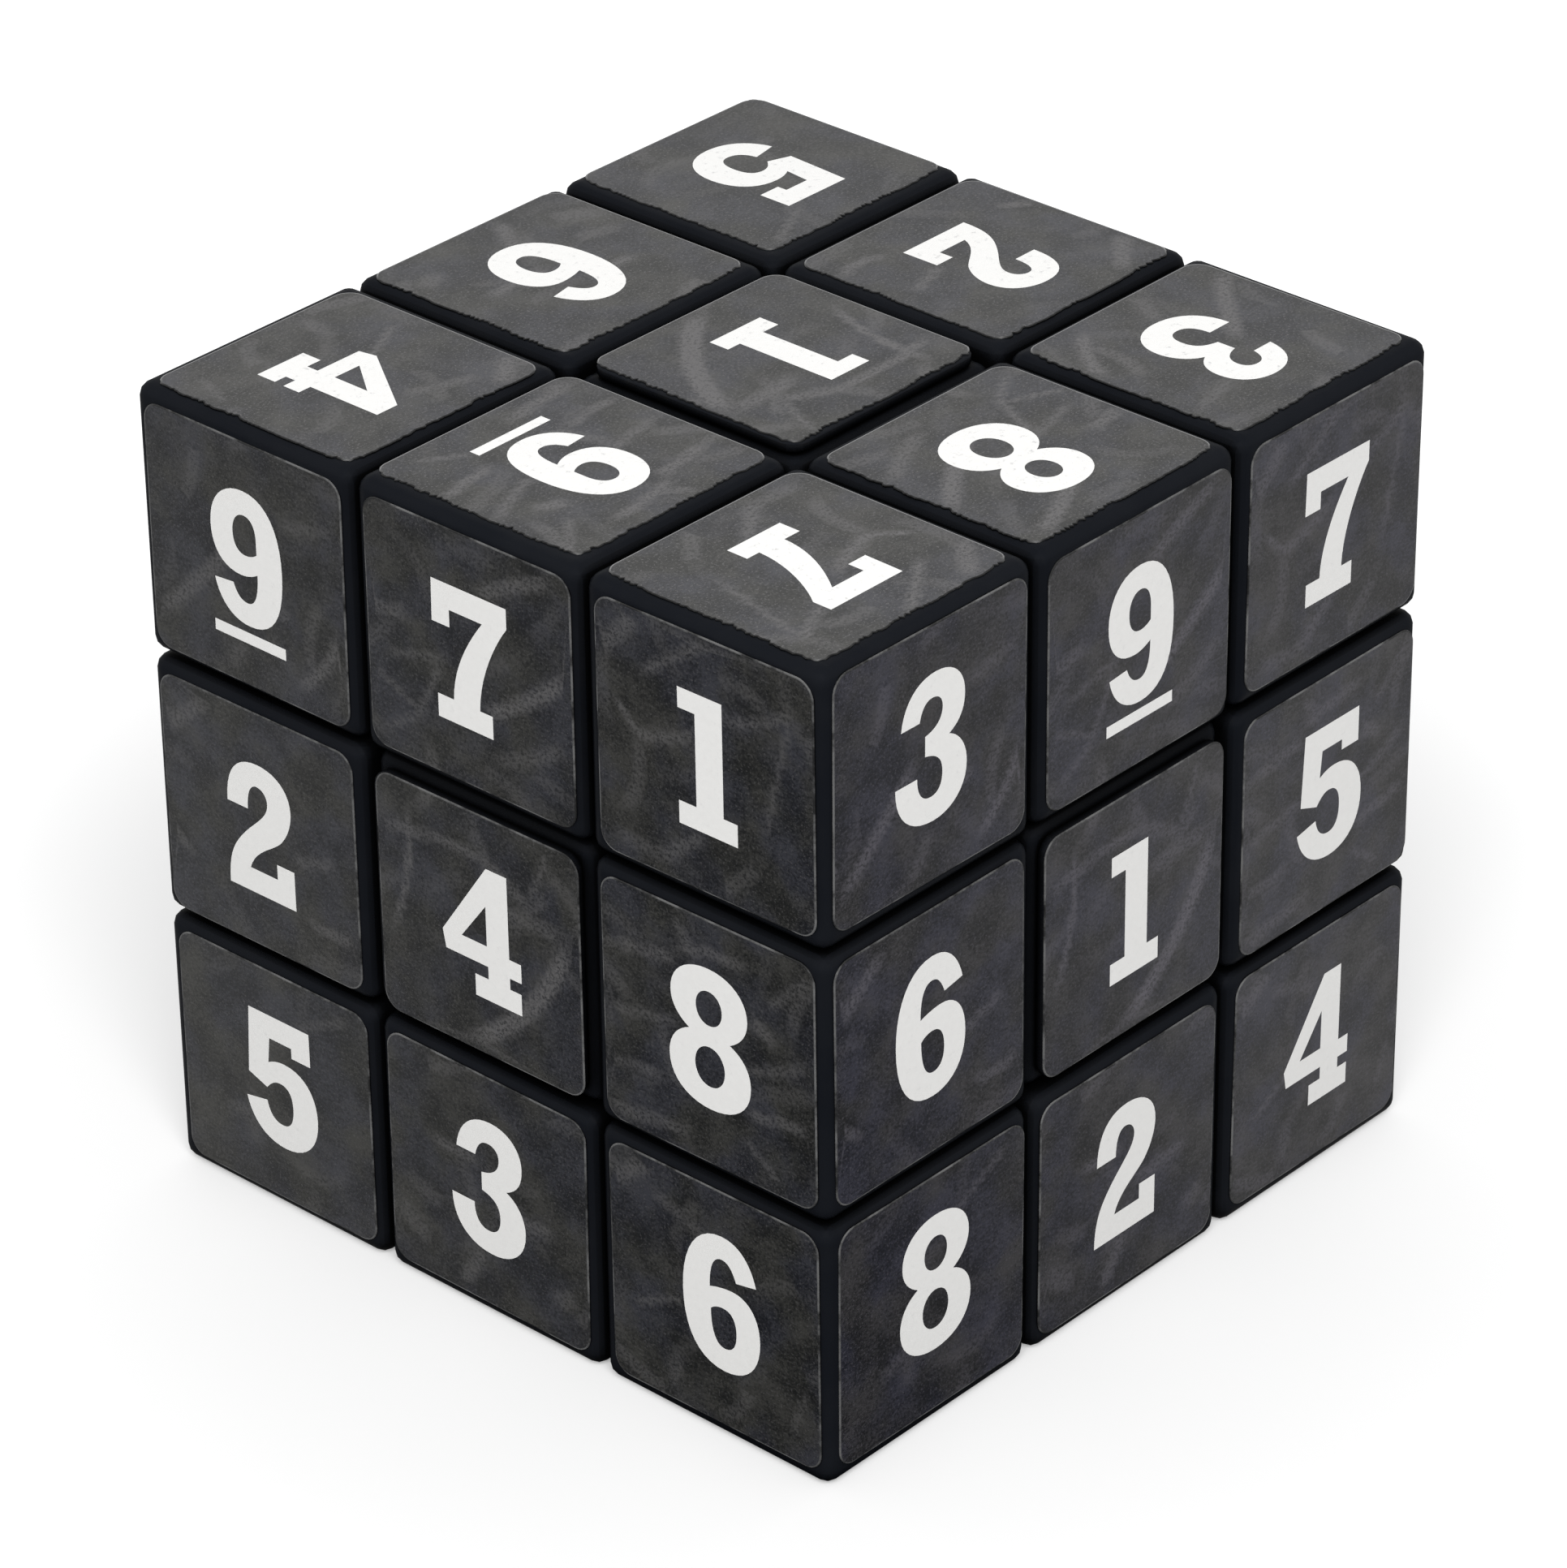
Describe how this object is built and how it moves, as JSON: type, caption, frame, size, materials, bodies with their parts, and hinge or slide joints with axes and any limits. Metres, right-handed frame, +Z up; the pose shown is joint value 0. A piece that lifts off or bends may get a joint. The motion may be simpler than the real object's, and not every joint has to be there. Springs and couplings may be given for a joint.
{
  "type": "sudoku cube",
  "caption": "Black twisting puzzle cube with a digit on every tile: sprung centres on an armed core hold edge and corner pieces, and its layers turn.",
  "frame": {"origin": "centre of the core, which is the centre of the cube", "axes": "+Z up along the top screw, -Y out of the picture's left face (front), +X out of its right face"},
  "size_m": [0.057, 0.057, 0.057],
  "materials": {
    "black_plastic": "satin moulded",
    "core_plastic": "moulded",
    "plated_steel": "zinc plated",
    "spring_steel": "drawn wire",
    "label_film": "printed, rubbed"
  },
  "bodies": {
    "middle_layer": {"core": "core_plastic", "top_screw": "plated_steel", "top_spring": "spring_steel", "top_washer": "plated_steel", "bottom_screw": "plated_steel", "bottom_spring": "spring_steel", "bottom_washer": "plated_steel", "front_screw": "plated_steel", "front_spring": "spring_steel", "front_washer": "plated_steel", "right_screw": "plated_steel", "right_spring": "spring_steel", "right_washer": "plated_steel", "back_screw": "plated_steel", "back_spring": "spring_steel", "back_washer": "plated_steel", "left_screw": "plated_steel", "left_spring": "spring_steel", "left_washer": "plated_steel", "front_left_edge": "black_plastic", "front_right_edge": "black_plastic", "back_right_edge": "black_plastic", "back_left_edge": "black_plastic"},
    "top_layer": {"top_front_edge": "black_plastic", "top_right_edge": "black_plastic", "top_back_edge": "black_plastic", "top_left_edge": "black_plastic", "top_front_left_corner": "black_plastic", "top_front_right_corner": "black_plastic", "top_back_right_corner": "black_plastic", "top_back_left_corner": "black_plastic"},
    "bottom_layer": {"bottom_front_edge": "black_plastic", "bottom_right_edge": "black_plastic", "bottom_back_edge": "black_plastic", "bottom_left_edge": "black_plastic", "bottom_front_left_corner": "black_plastic", "bottom_front_right_corner": "black_plastic", "bottom_back_right_corner": "black_plastic", "bottom_back_left_corner": "black_plastic"},
    "top_centre": {"top_centre_hub": "black_plastic", "top_centre_cap": "black_plastic"},
    "bottom_centre": {"bottom_centre_hub": "black_plastic", "bottom_centre_cap": "black_plastic"},
    "front_centre": {"front_centre_hub": "black_plastic", "front_centre_cap": "black_plastic"},
    "right_centre": {"right_centre_hub": "black_plastic", "right_centre_cap": "black_plastic"},
    "back_centre": {"back_centre_hub": "black_plastic", "back_centre_cap": "black_plastic"},
    "left_centre": {"left_centre_hub": "black_plastic", "left_centre_cap": "black_plastic"}
  },
  "joints": [
    {"name": "top_turn", "type": "hinge", "parent": "middle_layer", "child": "top_layer", "pos_m": [0, 0, 0.019], "axis": [0, 0, 1], "continuous": true},
    {"name": "bottom_turn", "type": "hinge", "parent": "middle_layer", "child": "bottom_layer", "pos_m": [0, 0, -0.019], "axis": [0, 0, -1], "continuous": true},
    {"name": "top_pull", "type": "slide", "parent": "top_layer", "child": "top_centre", "axis": [0, 0, 1], "range_m": [0, 0.0012], "stiffness_N_per_m": 800, "springref_m": -0.004, "deforming": ["top_spring"]},
    {"name": "bottom_pull", "type": "slide", "parent": "bottom_layer", "child": "bottom_centre", "axis": [0, 0, -1], "range_m": [0, 0.0012], "stiffness_N_per_m": 800, "springref_m": -0.004, "deforming": ["bottom_spring"]},
    {"name": "front_pull", "type": "slide", "parent": "middle_layer", "child": "front_centre", "axis": [0, -1, 0], "range_m": [0, 0.0012], "stiffness_N_per_m": 800, "springref_m": -0.004, "deforming": ["front_spring"]},
    {"name": "right_pull", "type": "slide", "parent": "middle_layer", "child": "right_centre", "axis": [1, 0, 0], "range_m": [0, 0.0012], "stiffness_N_per_m": 800, "springref_m": -0.004, "deforming": ["right_spring"]},
    {"name": "back_pull", "type": "slide", "parent": "middle_layer", "child": "back_centre", "axis": [0, 1, 0], "range_m": [0, 0.0012], "stiffness_N_per_m": 800, "springref_m": -0.004, "deforming": ["back_spring"]},
    {"name": "left_pull", "type": "slide", "parent": "middle_layer", "child": "left_centre", "axis": [-1, 0, 0], "range_m": [0, 0.0012], "stiffness_N_per_m": 800, "springref_m": -0.004, "deforming": ["left_spring"]}
  ]
}
